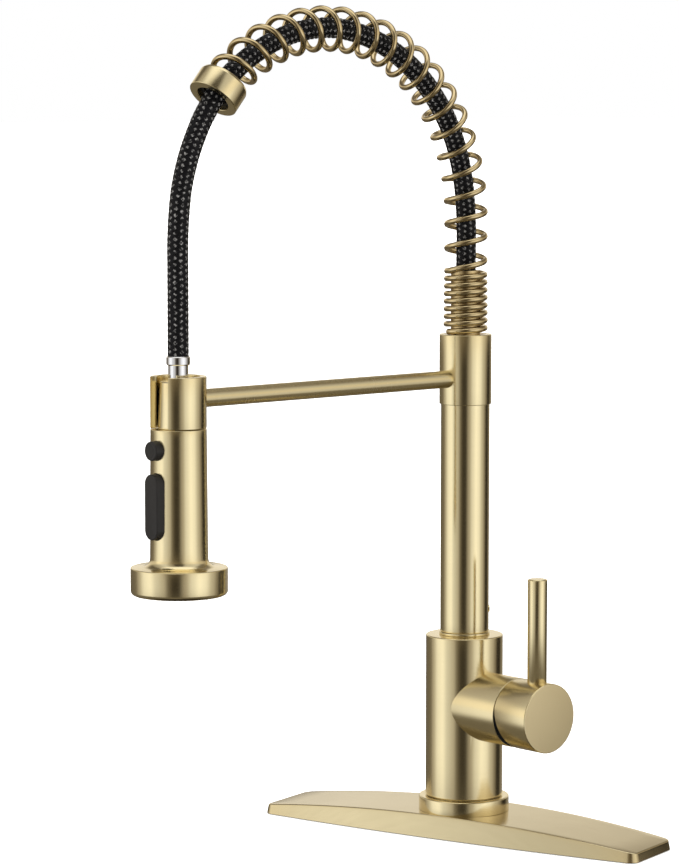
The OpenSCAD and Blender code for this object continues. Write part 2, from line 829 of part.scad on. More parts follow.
module aerator()
    color(steel) at_head() difference() {
        translate([0, 0, 161.8]) cylinder(h = 10.2, r = 8);
        translate([0, 0, 161]) cylinder(h = 2.4, r = 6.2);
        for (x = [-4 : 2 : 4])
            for (y = [-4 : 2 : 4])
                translate([x, y, 160]) cylinder(h = 20, r = 0.6, $fn = 16);
    }

// ---------- what is built ----------

deck_plate();
deck_gasket();
base_ring();
base_seal();
faucet_body();
valve_boss();
mounting_shank();
rubber_washer();
steel_washer();
mounting_nut();
swivel_ring();
pivot_circlip();
cartridge_base_seal();
cartridge_case();
fixed_ceramic_disc();
cartridge_nut();
moving_ceramic_disc();
cartridge_rotor();
cartridge_pin();
cartridge_stem();
handle_hub();
handle_lever();
handle_set_screw();
column_tube();
column_sleeve();
pivot_nipple();
pivot_seals();
column_set_screw();
spring_seat();
arch_spring();
spring_collar();
collar_liner();
dock_arm();
dock_sleeve();
dock_screw();
hose_base();
hose_column();
hose_drop();
hose_tail_plug();
hose_ferrule();
hose_stem();
hose_seal();
head_neck();
swivel_clip();
filter_screen();
head_shell();
waterway_core();
diverter_spool();
rocker_pin();
spray_housing();
nozzle_pad();
spray_face();
aerator();
pause_button();
rocker_button();
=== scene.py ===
import math

import bmesh
import bpy
from mathutils import Matrix, Vector


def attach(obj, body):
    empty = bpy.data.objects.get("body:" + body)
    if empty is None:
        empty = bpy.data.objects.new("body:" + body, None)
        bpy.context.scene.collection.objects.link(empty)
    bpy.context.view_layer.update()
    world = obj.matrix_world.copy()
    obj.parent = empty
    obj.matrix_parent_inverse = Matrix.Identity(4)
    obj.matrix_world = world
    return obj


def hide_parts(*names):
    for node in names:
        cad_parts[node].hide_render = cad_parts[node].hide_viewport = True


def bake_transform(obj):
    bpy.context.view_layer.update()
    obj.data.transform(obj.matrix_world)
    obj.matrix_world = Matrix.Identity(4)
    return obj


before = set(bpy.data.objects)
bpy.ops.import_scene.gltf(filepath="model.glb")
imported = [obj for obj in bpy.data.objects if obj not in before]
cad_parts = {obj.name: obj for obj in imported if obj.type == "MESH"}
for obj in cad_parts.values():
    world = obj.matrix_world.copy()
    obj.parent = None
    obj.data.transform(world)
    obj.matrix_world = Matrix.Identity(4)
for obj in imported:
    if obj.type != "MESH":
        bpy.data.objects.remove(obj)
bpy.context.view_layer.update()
scene = bpy.context.scene
mm = 0.001

# ---------- camera ----------
# A long lens two metres away and a little above the arch's middle. It is turned from the
# spout towards the handle and looks slightly down, so that the deck plate opens to it.

camera_turn = math.radians(48.68)
camera_pitch = math.radians(5.803)
camera_away = 1979.5 * mm
camera_aside = -73.07 * mm
camera_height = 436.84 * mm

camera = bpy.data.objects.new("camera", bpy.data.cameras.new("camera"))
camera.data.sensor_width = 36
camera.data.lens = 142.6
camera.location = (
    camera_away * math.sin(camera_turn) + camera_aside * math.cos(camera_turn),
    camera_aside * math.sin(camera_turn) - camera_away * math.cos(camera_turn),
    camera_height,
)
camera.rotation_euler = (math.radians(90) - camera_pitch, 0, camera_turn)
scene.collection.objects.link(camera)
scene.camera = camera

# ---------- pull down hose ----------
# A rubber hose in a sleeve of flat black nylon strands, ten wound each way and braided two
# over two. It runs from the click-in plug under the deck through the body, the column and
# the spring, out of the collar and down to the crimped ferrule over the spray head.


def feed(tree, node, inputs):
    """Sets a node's inputs: each is a value, or the socket that feeds it."""
    for key, value in inputs.items():
        if isinstance(value, bpy.types.NodeSocket):
            tree.links.new(value, node.inputs[key])
        else:
            node.inputs[key].default_value = value


def add_node(tree, kind, inputs=None, **settings):
    """Adds a node with its settings and its inputs."""
    made = tree.nodes.new(kind)
    for key, value in settings.items():
        setattr(made, key, value)
    feed(tree, made, inputs or {})
    return made


def maths(tree, operation, *values):
    """One step of arithmetic, and the socket that holds its result."""
    return add_node(tree, "ShaderNodeMath", dict(enumerate(values)), operation=operation).outputs[0]


def scaled(tree, vector, factor):
    """A vector made longer by a factor."""
    inputs = {0: vector, "Scale": factor}
    return add_node(tree, "ShaderNodeVectorMath", inputs, operation="SCALE").outputs[0]


def summed(tree, first, second):
    """Two vectors added."""
    return add_node(tree, "ShaderNodeVectorMath", {0: first, 1: second}, operation="ADD").outputs[0]


def add_sockets(tree, in_out, sockets):
    """Gives a node group its named inputs or outputs, each with its kind."""
    for name, kind in sockets.items():
        tree.interface.new_socket(name, in_out=in_out, socket_type="NodeSocket" + kind)


def flowing(points, parts):
    """Points on a smooth curve through the given ones, so many for each stretch."""
    points = [Vector(p) for p in points]
    fine = []
    for i in range(len(points) - 1):
        a, b = points[max(i - 1, 0)], points[i]
        c, d = points[i + 1], points[min(i + 2, len(points) - 1)]
        for k in range(parts):
            t = k / parts
            fine.append(
                0.5 * (2 * b + (c - a) * t + (2 * a - 5 * b + 4 * c - d) * t**2
                       + (3 * b - a - 3 * c + d) * t**3)
            )
    return fine + [points[-1]]


def wound_wire():
    """Winds strands round a path: first close turns, then open ones, straight or woven."""
    tree = bpy.data.node_groups.new("wound_wire", "GeometryNodeTree")
    add_sockets(tree, "INPUT", {
        "Geometry": "Geometry", "Across": "Vector", "Strands": "Int", "Steps": "Int",
        "Sides": "Int", "Hand": "Float", "Radius": "Float", "Phase": "Float",
        "Close Turns": "Float", "Close Length": "Float", "Open Turns": "Float",
        "Width": "Float", "Thickness": "Float", "Weave": "Float", "Material": "Material",
    })
    add_sockets(tree, "OUTPUT", {"Geometry": "Geometry"})
    given = tree.nodes.new("NodeGroupInput").outputs
    line = add_node(tree, "GeometryNodeMeshLine", {"Count": given["Steps"], "Offset": (0, 0, 1)})
    strand = add_node(tree, "GeometryNodeMeshToCurve", {"Mesh": line.outputs["Mesh"]})
    strands = add_node(
        tree, "GeometryNodeDuplicateElements",
        {"Geometry": strand.outputs["Curve"], "Amount": given["Strands"]}, domain="SPLINE")
    number = strands.outputs["Duplicate Index"]
    # how far along the path each point is
    share = tree.nodes.new("GeometryNodeSplineParameter").outputs["Factor"]
    turns = maths(tree, "MULTIPLY", share,
                  maths(tree, "ADD", given["Close Turns"], given["Open Turns"]))
    in_close = maths(tree, "MINIMUM", turns, given["Close Turns"])
    in_open = maths(tree, "MAXIMUM", maths(tree, "SUBTRACT", turns, given["Close Turns"]), 0.0)
    close_pitch = maths(tree, "DIVIDE", given["Close Length"],
                        maths(tree, "MAXIMUM", given["Close Turns"], 0.001))
    whole = add_node(tree, "GeometryNodeCurveLength",
                     {"Curve": given["Geometry"]}).outputs["Length"]
    open_pitch = maths(tree, "DIVIDE", maths(tree, "SUBTRACT", whole, given["Close Length"]),
                       given["Open Turns"])
    along = maths(tree, "ADD", maths(tree, "MULTIPLY", in_close, close_pitch),
                  maths(tree, "MULTIPLY", in_open, open_pitch))
    place = add_node(tree, "GeometryNodeSampleCurve",
                     {"Curves": given["Geometry"], "Length": along}, mode="LENGTH")
    # the direction away from the path, and the rise of a woven strand
    turned = maths(tree, "MULTIPLY", maths(tree, "MULTIPLY", turns, given["Hand"]), math.tau)
    spread = maths(tree, "MULTIPLY", maths(tree, "DIVIDE", number, given["Strands"]), math.tau)
    angle = maths(tree, "ADD", maths(tree, "ADD", turned, spread), given["Phase"])
    side = add_node(tree, "ShaderNodeVectorMath",
                    {0: place.outputs["Tangent"], 1: given["Across"]},
                    operation="CROSS_PRODUCT").outputs[0]
    outward = summed(tree, scaled(tree, given["Across"], maths(tree, "COSINE", angle)),
                     scaled(tree, side, maths(tree, "SINE", angle)))
    crossing = maths(tree, "MULTIPLY", maths(tree, "MULTIPLY", turned, given["Strands"]), 0.5)
    crossing = maths(tree, "ADD", crossing, maths(tree, "MULTIPLY", number, math.pi))
    wave = maths(tree, "COSINE", maths(tree, "SUBTRACT", crossing, math.pi / 4))
    wave = maths(tree, "MULTIPLY", wave, given["Hand"])
    reach = maths(tree, "ADD", given["Radius"], maths(tree, "MULTIPLY", wave, given["Weave"]))
    moved = add_node(tree, "GeometryNodeSetPosition", {
        "Geometry": strands.outputs["Geometry"],
        "Position": summed(tree, place.outputs["Position"], scaled(tree, outward, reach))})
    upright = add_node(tree, "GeometryNodeSetCurveNormal",
                       {"Curve": moved.outputs["Geometry"], "Normal": outward}, mode="FREE")
    marked = add_node(tree, "GeometryNodeStoreNamedAttribute", {
        "Geometry": upright.outputs["Curve"], "Name": "crown", "Value": wave},
        data_type="FLOAT", domain="POINT")
    round_section = add_node(tree, "GeometryNodeCurvePrimitiveCircle",
                             {"Resolution": given["Sides"], "Radius": 0.5})
    size = add_node(tree, "ShaderNodeCombineXYZ",
                    {"X": given["Thickness"], "Y": given["Width"], "Z": 1.0})
    section = add_node(tree, "GeometryNodeTransform",
                       {"Geometry": round_section.outputs["Curve"], "Scale": size.outputs[0]})
    skin = add_node(tree, "GeometryNodeCurveToMesh", {
        "Curve": marked.outputs["Geometry"], "Profile Curve": section.outputs["Geometry"],
        "Fill Caps": True})
    real = add_node(tree, "GeometryNodeRealizeInstances", {"Geometry": skin.outputs["Mesh"]})
    finish = add_node(tree, "GeometryNodeSetMaterial",
                      {"Geometry": real.outputs["Geometry"], "Material": given["Material"]})
    add_node(tree, "NodeGroupOutput", {"Geometry": finish.outputs["Geometry"]})
    return tree


def braided_sleeve(winding):
    """A smooth tube with strands wound round it both ways, each over two and under two."""
    tree = bpy.data.node_groups.new("braided_sleeve", "GeometryNodeTree")
    add_sockets(tree, "INPUT", {
        "Geometry": "Geometry", "Across": "Vector", "Core Diameter": "Float",
        "Sleeve Radius": "Float", "Pitch": "Float", "Strands": "Int", "Strand Width": "Float",
        "Strand Thickness": "Float", "Weave": "Float", "Phase": "Float", "Step": "Float",
        "Core Material": "Material", "Strand Material": "Material",
    })
    add_sockets(tree, "OUTPUT", {"Geometry": "Geometry"})
    given = tree.nodes.new("NodeGroupInput").outputs
    whole = add_node(tree, "GeometryNodeCurveLength",
                     {"Curve": given["Geometry"]}).outputs["Length"]
    turns = maths(tree, "DIVIDE", whole, given["Pitch"])
    steps = maths(tree, "DIVIDE", whole, given["Step"])
    joined = tree.nodes.new("GeometryNodeJoinGeometry")
    for hand in (1.0, -1.0):
        layer = add_node(tree, "GeometryNodeGroup", node_tree=winding)
        feed(tree, layer, {
            "Geometry": given["Geometry"], "Across": given["Across"],
            "Strands": given["Strands"], "Steps": steps, "Sides": 6, "Hand": hand,
            "Radius": given["Sleeve Radius"], "Close Length": 0.0, "Open Turns": turns,
            "Width": given["Strand Width"], "Thickness": given["Strand Thickness"],
            "Weave": given["Weave"], "Phase": given["Phase"],
            "Material": given["Strand Material"],
        })
        tree.links.new(layer.outputs["Geometry"], joined.inputs["Geometry"])
    ring = add_node(tree, "GeometryNodeCurvePrimitiveCircle", {
        "Resolution": 40, "Radius": maths(tree, "MULTIPLY", given["Core Diameter"], 0.5)})
    core = add_node(tree, "GeometryNodeCurveToMesh", {
        "Curve": given["Geometry"], "Profile Curve": ring.outputs["Curve"], "Fill Caps": True})
    painted = add_node(tree, "GeometryNodeSetMaterial",
                       {"Geometry": core.outputs["Mesh"], "Material": given["Core Material"]})
    tree.links.new(painted.outputs["Geometry"], joined.inputs["Geometry"])
    real = add_node(tree, "GeometryNodeRealizeInstances",
                    {"Geometry": joined.outputs["Geometry"]})
    add_node(tree, "NodeGroupOutput", {"Geometry": real.outputs["Geometry"]})
    return tree


def smooth_below(mesh, angle=35):
    """Shades a mesh smooth, except at edges sharper than an angle."""
    mesh.shade_smooth()
    mesh.set_sharp_from_angle(angle=math.radians(angle))


def new_piece(name, mesh):
    """Puts a finished mesh in the scene."""
    piece = bpy.data.objects.new(name, mesh)
    scene.collection.objects.link(piece)
    return piece


def grown(name, path, tree, inputs):
    """Runs a node tree on a path and keeps the result as a plain mesh."""
    line = bpy.data.curves.new(name + "_path", "CURVE")
    line.dimensions = "3D"
    spline = line.splines.new("POLY")
    spline.points.add(len(path) - 1)
    for point, place in zip(spline.points, path):
        point.co = (*place, 1)
    maker = bpy.data.objects.new(name + "_path", line)
    scene.collection.objects.link(maker)
    modifier = maker.modifiers.new(name, "NODES")
    modifier.node_group = tree
    for socket in tree.interface.items_tree:
        if socket.item_type == "SOCKET" and socket.in_out == "INPUT" and socket.name in inputs:
            modifier[socket.identifier] = inputs[socket.name]
    graph = bpy.context.evaluated_depsgraph_get()
    mesh = bpy.data.meshes.new_from_object(maker.evaluated_get(graph), depsgraph=graph)
    bpy.data.objects.remove(maker)
    mesh.name = name
    smooth_below(mesh, 60)
    return new_piece(name, mesh)


def new_material(name):
    """An empty material, its node tree and its main shader."""
    material = bpy.data.materials.new(name)
    material.use_nodes = True
    return material, material.node_tree, material.node_tree.nodes["Principled BSDF"]


def nylon_strand():
    """Black nylon with a painted highlight: pale grey where a strand lies uppermost and would catch
    the light.
    """
    material, tree, shader = new_material("black_nylon")
    crown = add_node(tree, "ShaderNodeAttribute", attribute_name="crown").outputs["Fac"]
    place = tree.nodes.new("ShaderNodeTexCoord").outputs["Object"]
    # painted highlight: the top of each strand, where the weave rises, is painted pale grey, broken
    # up by noise
    highlight_noise = add_node(tree, "ShaderNodeTexNoise", {"Vector": place, "Scale": 900.0, "Detail": 2.0})
    height = maths(tree, "ADD", crown, maths(tree, "MULTIPLY", highlight_noise.outputs["Fac"], 0.8))
    painted_highlight = add_node(tree, "ShaderNodeMapRange", {
        "Value": height, "From Min": 1.22, "From Max": 1.5, "To Min": 0.0, "To Max": 1.0})
    colour = add_node(tree, "ShaderNodeMix", {
        "Factor": painted_highlight.outputs["Result"], "A": (0.005, 0.005, 0.006, 1),
        "B": (0.27, 0.265, 0.26, 1)}, data_type="RGBA")
    tree.links.new(colour.outputs["Result"], shader.inputs["Base Color"])
    filaments = add_node(tree, "ShaderNodeTexNoise",
                         {"Vector": place, "Scale": 5000.0, "Detail": 1.0})
    bump = add_node(tree, "ShaderNodeBump",
                    {"Height": filaments.outputs["Fac"], "Strength": 0.5, "Distance": 0.03 * mm})
    tree.links.new(bump.outputs["Normal"], shader.inputs["Normal"])
    shader.inputs["Roughness"].default_value = 0.4
    shader.inputs["Specular IOR Level"].default_value = 0.12
    return material


def moulded(name, colour, roughness, grain, shine=0.2):
    """Rubber or plastic: one colour with a fine moulded grain and faint clouding."""
    material, tree, shader = new_material(name)
    shader.inputs["Specular IOR Level"].default_value = shine
    place = tree.nodes.new("ShaderNodeTexCoord").outputs["Object"]
    clouds = add_node(tree, "ShaderNodeTexNoise", {"Vector": place, "Scale": 120.0, "Detail": 3.0})
    tone = add_node(tree, "ShaderNodeMix", {
        "Factor": clouds.outputs["Fac"], "A": (*[0.85 * c for c in colour], 1),
        "B": (*[min(1.15 * c, 1) for c in colour], 1)}, data_type="RGBA")
    tree.links.new(tone.outputs["Result"], shader.inputs["Base Color"])
    rough = add_node(tree, "ShaderNodeMapRange", {
        "Value": clouds.outputs["Fac"], "To Min": roughness - 0.05, "To Max": roughness + 0.05})
    tree.links.new(rough.outputs["Result"], shader.inputs["Roughness"])
    pores = add_node(tree, "ShaderNodeTexNoise", {"Vector": place, "Scale": grain, "Detail": 2.0})
    bump = add_node(tree, "ShaderNodeBump",
                    {"Height": pores.outputs["Fac"], "Strength": 0.35, "Distance": 0.02 * mm})
    tree.links.new(bump.outputs["Normal"], shader.inputs["Normal"])
    return material


hose_diameter = 11.6 * mm
sleeve_pitch = 32.6 * mm
core_diameter = 10.2 * mm
strand_width = 2.0 * mm
strand_thickness = 0.42 * mm
weave_depth = 0.2 * mm
sleeve_radius = hose_diameter / 2 - weave_depth - strand_thickness / 2

low_route = [
    (0, 118.5), (0, 108), (0, 98), (-1, 88), (-2.5, 76), (-4.5, 64), (-6.5, 52), (-7.6, 42),
    (-8, 32), (-8, 16), (-8, 0), (-8, -16), (-8, -32), (-8, -48), (-8, -62),
]
column_route = [
    (0, 118.5), (0, 150), (0, 185), (0, 220), (0, 255), (0, 290), (0, 325), (0, 361),
    (-4, 389), (-14, 414), (-31, 436), (-53, 453), (-79, 464), (-106, 468), (-134, 464),
    (-160, 453),
]
drop_route = [
    (-181, 438), (-188, 429), (-195, 419), (-201, 408), (-206, 396), (-210, 382), (-212, 368),
    (-213, 352), (-213, 336), (-213, 320), (-213, 305), (-213, 291.1),
]
route_parts = 8
above_swivel = flowing([(0, y * mm, z * mm) for y, z in column_route + drop_route], route_parts)
at_collar = route_parts * len(column_route)
column_path = above_swivel[: at_collar + 1]
drop_path = above_swivel[at_collar:]
low_path = flowing([(x * mm, 0, z * mm) for x, z in low_route], route_parts)

black_nylon = nylon_strand()
hose_rubber = moulded("hose_rubber", (0.012, 0.012, 0.012), 0.6, 3000.0)
winding = wound_wire()
sleeve_tree = braided_sleeve(winding)


def braided_hose(name, path, across, node):
    """One stretch of the hose with its sleeve, which stands for its plain CAD tube."""
    hose = grown(name, path, sleeve_tree, {
        "Across": across, "Core Diameter": core_diameter, "Sleeve Radius": sleeve_radius,
        "Pitch": sleeve_pitch, "Strands": 10, "Strand Width": strand_width,
        "Strand Thickness": strand_thickness, "Weave": weave_depth,
        "Phase": math.radians(-26), "Step": 0.85 * mm,
        "Core Material": hose_rubber, "Strand Material": black_nylon,
    })
    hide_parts(node)
    return hose


low_hose = braided_hose("hose_through_body", low_path, (0, 1, 0), "hose_base")
column_hose = braided_hose("hose_through_spring", column_path, (1, 0, 0), "hose_column")
drop_hose = braided_hose("hose_to_spray_head", drop_path, (1, 0, 0), "hose_drop")
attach(low_hose, "root")
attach(column_hose, "column")
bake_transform(drop_hose)

# ---------- deck plate ----------
# A long cover plate of brushed gold sheet with a low crown and bowed sides. It covers the
# sink's spare holes, lies on a rubber gasket and is clamped under the base ring.


def brushed_grain():
    """Colour, roughness and height of a satin brushed metal, from a vector stretched along
    the brushing and one in plain object space."""
    tree = bpy.data.node_groups.new("brushed_grain", "ShaderNodeTree")
    add_sockets(tree, "INPUT", {
        "Grain Place": "Vector", "Place": "Vector", "Colour": "Color", "Roughness": "Float",
        "Grain": "Float", "Clouding": "Float"})
    add_sockets(tree, "OUTPUT", {"Colour": "Color", "Roughness": "Float", "Height": "Float"})
    given = tree.nodes.new("NodeGroupInput").outputs
    lines = add_node(tree, "ShaderNodeTexNoise",
                     {"Vector": given["Grain Place"], "Scale": 1.0, "Detail": 3.0}).outputs["Fac"]
    clouds = add_node(tree, "ShaderNodeTexNoise",
                      {"Vector": given["Place"], "Scale": 45.0, "Detail": 3.0}).outputs["Fac"]
    line_part = maths(tree, "MULTIPLY", maths(tree, "SUBTRACT", lines, 0.5), given["Grain"])
    cloud_part = maths(tree, "MULTIPLY", maths(tree, "SUBTRACT", clouds, 0.5), given["Clouding"])
    both = maths(tree, "ADD", line_part, cloud_part)
    rough = maths(tree, "ADD", given["Roughness"], both)
    bright = maths(tree, "SUBTRACT", 1.0, maths(tree, "MULTIPLY", both, 0.5))
    colour = scaled(tree, given["Colour"], bright)
    add_node(tree, "NodeGroupOutput", {"Colour": colour, "Roughness": rough, "Height": lines})
    return tree


grain_group = brushed_grain()


def brushed_metal(name, colour, roughness, stretch, turn=0.0, grain=0.1, depth=2.0):
    """Satin metal whose fine lines are short along each axis that has a high stretch."""
    material, tree, shader = new_material(name)
    place = tree.nodes.new("ShaderNodeTexCoord").outputs["Object"]
    brushing = add_node(tree, "ShaderNodeMapping", {
        "Vector": place, "Rotation": (0, 0, turn), "Scale": [1 / s for s in stretch]},
        vector_type="TEXTURE")
    surface = add_node(tree, "ShaderNodeGroup", node_tree=grain_group)
    feed(tree, surface, {
        "Grain Place": brushing.outputs["Vector"], "Place": place, "Colour": (*colour, 1),
        "Roughness": roughness, "Grain": grain, "Clouding": 0.05})
    feed(tree, shader, {
        "Base Color": surface.outputs["Colour"], "Roughness": surface.outputs["Roughness"],
        "Metallic": 1.0})
    bump = add_node(tree, "ShaderNodeBump", {
        "Height": surface.outputs["Height"], "Strength": 0.6, "Distance": depth * 0.001 * mm})
    tree.links.new(bump.outputs["Normal"], shader.inputs["Normal"])
    return material


gold_colour = (0.80, 0.69, 0.42)
across_grain = 3500.0
along_grain = 60.0
plate_turn = math.radians(16)
gold_sheet = brushed_metal("gold_sheet", (0.62, 0.53, 0.325), 0.2,
                           (along_grain, across_grain, along_grain), turn=plate_turn)


def skinned(name, loops, material, closed=True, angle=35):
    """Joins loops of points with faces, last to first if closed, else with flat ends."""
    mesh = bpy.data.meshes.new(name)
    shape = bmesh.new()
    rows = [[shape.verts.new(point) for point in loop] for loop in loops]
    count = len(rows[0])
    pairs = list(zip(rows, rows[1:])) + ([(rows[-1], rows[0])] if closed else [])
    for row, next_row in pairs:
        for k in range(count):
            n = (k + 1) % count
            shape.faces.new((row[k], row[n], next_row[n], next_row[k]))
    if not closed:
        shape.faces.new(rows[0])
        shape.faces.new(rows[-1])
    bmesh.ops.remove_doubles(shape, verts=shape.verts, dist=0.002 * mm)
    bmesh.ops.dissolve_degenerate(shape, edges=shape.edges, dist=0.001 * mm)
    bmesh.ops.recalc_face_normals(shape, faces=shape.faces)
    shape.to_mesh(mesh)
    shape.free()
    mesh.materials.append(material)
    smooth_below(mesh, angle)
    return new_piece(name, mesh)


def filleted(corners, steps=5):
    """A closed outline of (r, h, fillet) corners, in millimetres, with the fillets as arcs."""
    outline = []
    for i, (r, h, fillet) in enumerate(corners):
        corner = Vector((r, h))
        before = Vector(corners[i - 1][:2]) - corner
        after = Vector(corners[(i + 1) % len(corners)][:2]) - corner
        if not fillet:
            outline.append(corner)
            continue
        half = before.angle(after) / 2
        reach = fillet / math.tan(half)
        first = corner + before.normalized() * reach
        last = corner + after.normalized() * reach
        middle = corner + (before.normalized() + after.normalized()).normalized() * (
            fillet / math.sin(half))
        start, end = first - middle, last - middle
        sweep = start.angle_signed(end)
        for k in range(steps + 1):
            outline.append(middle + Matrix.Rotation(-sweep * k / steps, 2) @ start)
    return outline


def turned(name, corners, material, centre=(0, 0, 0), along="z", sides=160, angle=35):
    """A lathe-turned piece: the filleted outline spun round a line along x, -y or z."""
    loops = []
    for r, h in filleted(corners):
        loop = []
        for k in range(sides):
            a = math.tau * k / sides
            u, v = r * math.cos(a), r * math.sin(a)
            spot = {"x": (h, u, v), "y": (u, -h, v), "z": (u, v, h)}[along]
            loop.append((Vector(spot) + Vector(centre)) * mm)
        loops.append(loop)
    return skinned(name, loops, material, angle=angle)


def placed(piece, body, slot, *nodes):
    """Makes a piece ride on its body and stand for its CAD nodes. Its finish, slot, is not used."""
    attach(piece, body)
    if nodes:
        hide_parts(*nodes)
    return piece


def plate_edge(samples=44, corner_samples=10):
    """The plate's outline as points with the direction that faces out, in its own axes."""
    half_length, half_width, end_width, corner = 126.0, 29.0, 23.5, 6.0
    bow = half_width - end_width
    bow_radius = (half_length**2 + bow**2) / (2 * bow)
    corner_x = half_length - corner
    corner_y = math.sqrt((bow_radius - corner) ** 2 - corner_x**2) - (bow_radius - half_width)
    lean = math.asin(corner_x / (bow_radius - corner))
    quarter = []
    for k in range(samples):
        a = lean * k / samples
        out = Vector((math.sin(a), math.cos(a)))
        quarter.append((out * bow_radius - Vector((0, bow_radius - half_width)), out))
    for k in range(corner_samples + 1):
        a = lean + (math.pi / 2 - lean) * k / corner_samples
        out = Vector((math.sin(a), math.cos(a)))
        quarter.append((Vector((corner_x, corner_y)) + out * corner, out))
    edge = []
    for sx, sy in [(1, 1), (1, -1), (-1, -1), (-1, 1)]:
        part = [(Vector((p.x * sx, p.y * sy)), Vector((o.x * sx, o.y * sy))) for p, o in quarter]
        edge += part if sx == sy else part[:0:-1]
    kept = []
    for point, out in edge:
        if not kept or (point - kept[-1][0]).length > 0.01:
            kept.append((point, out))
    if (kept[0][0] - kept[-1][0]).length < 0.01:
        kept.pop()
    return kept


def rounded_edge(radius, steps=5):
    """Steps round an edge: how far each lies in from the side, and how far short of the end."""
    angles = [math.pi / 2 * k / steps for k in range(steps + 1)]
    return [(radius * (1 - math.cos(a)), radius * (1 - math.sin(a))) for a in angles]


def deck_plate():
    """The plate as a shell: rim, rounded edge, crowned top, ring seat, hole and hollow."""
    crown_height, crown_radius, wall = 13.7, 957.0, 2.5
    seat_radius, seat_height, hole_radius, hub_base = 26.55, 13.3, 17.2, 2.5
    draft, edge_round, rings = 0.9, 0.8, 9
    edge = plate_edge()
    turn = Matrix.Rotation(plate_turn, 2)

    def crown(x, drop=0.0):
        return crown_height - crown_radius + math.sqrt((crown_radius - drop) ** 2 - x * x)

    def loop(inset, height):
        points = [p - out * inset for p, out in edge]
        return [(*(turn @ p), height(p.x)) for p in points]

    def circle(radius, height):
        points = [p.normalized() * radius for p, out in edge]
        return [(*(turn @ p), height(p.x)) for p in points]

    def between(first, last, share, height):
        blend = [Vector(a[:2]).lerp(Vector(b[:2]), share) for a, b in zip(first, last)]
        back = Matrix.Rotation(-plate_turn, 2)
        return [(*p, height((back @ p).x)) for p in blend]

    loops = [loop(0.3, lambda x: 0.0), loop(0.0, lambda x: 0.3)]
    for share in (0.25, 0.5, 0.75, 1.0):
        loops.append(loop(
            draft * share, lambda x, s=share: 0.3 + s * (crown(x) - edge_round - 0.3)))
    for inset, short in rounded_edge(edge_round)[1:]:
        loops.append(loop(draft + inset, lambda x, s=short: crown(x) - s))
    rim, seat = loops[-1], circle(seat_radius, crown)
    loops += [between(rim, seat, (k / rings) ** 0.8, crown) for k in range(1, rings + 1)]
    loops.append(circle(seat_radius, lambda x: seat_height))
    loops.append(circle(hole_radius, lambda x: seat_height))
    loops.append(circle(hole_radius, lambda x: hub_base))
    loops.append(circle(seat_radius, lambda x: hub_base))
    under = circle(seat_radius, lambda x: crown(x, wall))
    inner = loop(wall, lambda x: crown(x, wall))
    loops += [between(under, inner, k / rings, lambda x: crown(x, wall)) for k in range(rings + 1)]
    loops.append(loop(wall, lambda x: 0.0))
    return [[Vector(p) * mm for p in row] for row in loops]


placed(skinned("deck_cover_plate", deck_plate(), gold_sheet, angle=25),
       "root", "gold_sheet", "deck_plate")

# ---------- base ring and body ----------
# A turned brass body, brushed and gold plated, with a side boss brazed on for the valve. It
# stands on a wider base ring, and a threaded shank under it is held by a nut and washers.

gold_turned = brushed_metal("gold_turned", gold_colour, 0.19,
                            (along_grain, along_grain, across_grain), grain=0.06)
gold_cross = brushed_metal("gold_cross", gold_colour, 0.24,
                           (across_grain, along_grain, along_grain), grain=0.06)
gold_end = brushed_metal("gold_end", (0.84, 0.725, 0.46), 0.5,
                         (along_grain, across_grain, along_grain), grain=0.04)
raw_brass = brushed_metal("raw_brass", (0.62, 0.48, 0.25), 0.3,
                          (along_grain, along_grain, across_grain))
bright_steel = brushed_metal("bright_steel", (0.80, 0.80, 0.81), 0.1,
                             (along_grain, along_grain, across_grain), grain=0.03, depth=0.5)

body_radius, body_top, ring_top = 22.5, 117.2, 22.0
handle_height, hub_radius, valve_bore = 76.5, 20.05, 17.44

placed(turned("base_collar", [
    (17.2, 13.3, 0), (26.4, 13.3, 0.3), (26.4, ring_top - 0.12, 0.7), (22.7, ring_top - 0.12, 0.1),
    (22.7, ring_top - 0.3, 0.1), (17.2, ring_top - 0.3, 0),
], gold_turned), "root", "brushed_gold", "base_ring")


def cut(piece, cutter):
    """Cuts one solid out of another and drops the cutter."""
    modifier = piece.modifiers.new("cut", "BOOLEAN")
    modifier.operation = "DIFFERENCE"
    modifier.solver = "EXACT"
    modifier.object = cutter
    graph = bpy.context.evaluated_depsgraph_get()
    mesh = bpy.data.meshes.new_from_object(piece.evaluated_get(graph), depsgraph=graph)
    piece.modifiers.remove(modifier)
    while len(mesh.materials) > 1:
        mesh.materials.pop()
    for face in mesh.polygons:
        face.material_index = 0
    smooth_below(mesh)
    piece.data = mesh
    bpy.data.objects.remove(cutter)
    return piece


body = turned("valve_body", [
    (16.7, ring_top, 0), (21.9, ring_top, 0), (body_radius - 0.6, ring_top + 0.3, 0.1),
    (body_radius, ring_top + 0.7, 0.4),
    (body_radius, 50, 0), (body_radius, 104, 0), (body_radius, body_top, 0.7),
    (12.08, body_top, 0.3), (12.08, 84, 0), (6.6, 84, 0), (6.6, 34, 0), (16.7, 34, 0),
], gold_turned, sides=192)
cut(body, turned("valve_seat_cutter", [
    (0, 19, 0), (valve_bore, 19, 0), (valve_bore, 30, 0), (0, 30, 0),
], gold_turned, (0, 0, handle_height), "x", 96))
cut(body, turned("hose_way_cutter", [
    (0, 33, 0), (6.4, 33, 0), (6.4, 85, 0), (0, 85, 0),
], gold_turned, (-8, 0, 0), "z", 64))
placed(body, "root", "brushed_gold", "faucet_body")


def repaint(piece, material, chosen):
    """Gives another material to the faces whose middle, in millimetres, is chosen."""
    piece.data.materials.append(material)
    for face in piece.data.polygons:
        if chosen(face.center / mm):
            face.material_index = len(piece.data.materials) - 1
    return piece


def from_handle_axis(spot):
    """Distance of a point from the handle's axis."""
    return math.hypot(spot.y, spot.z - handle_height)


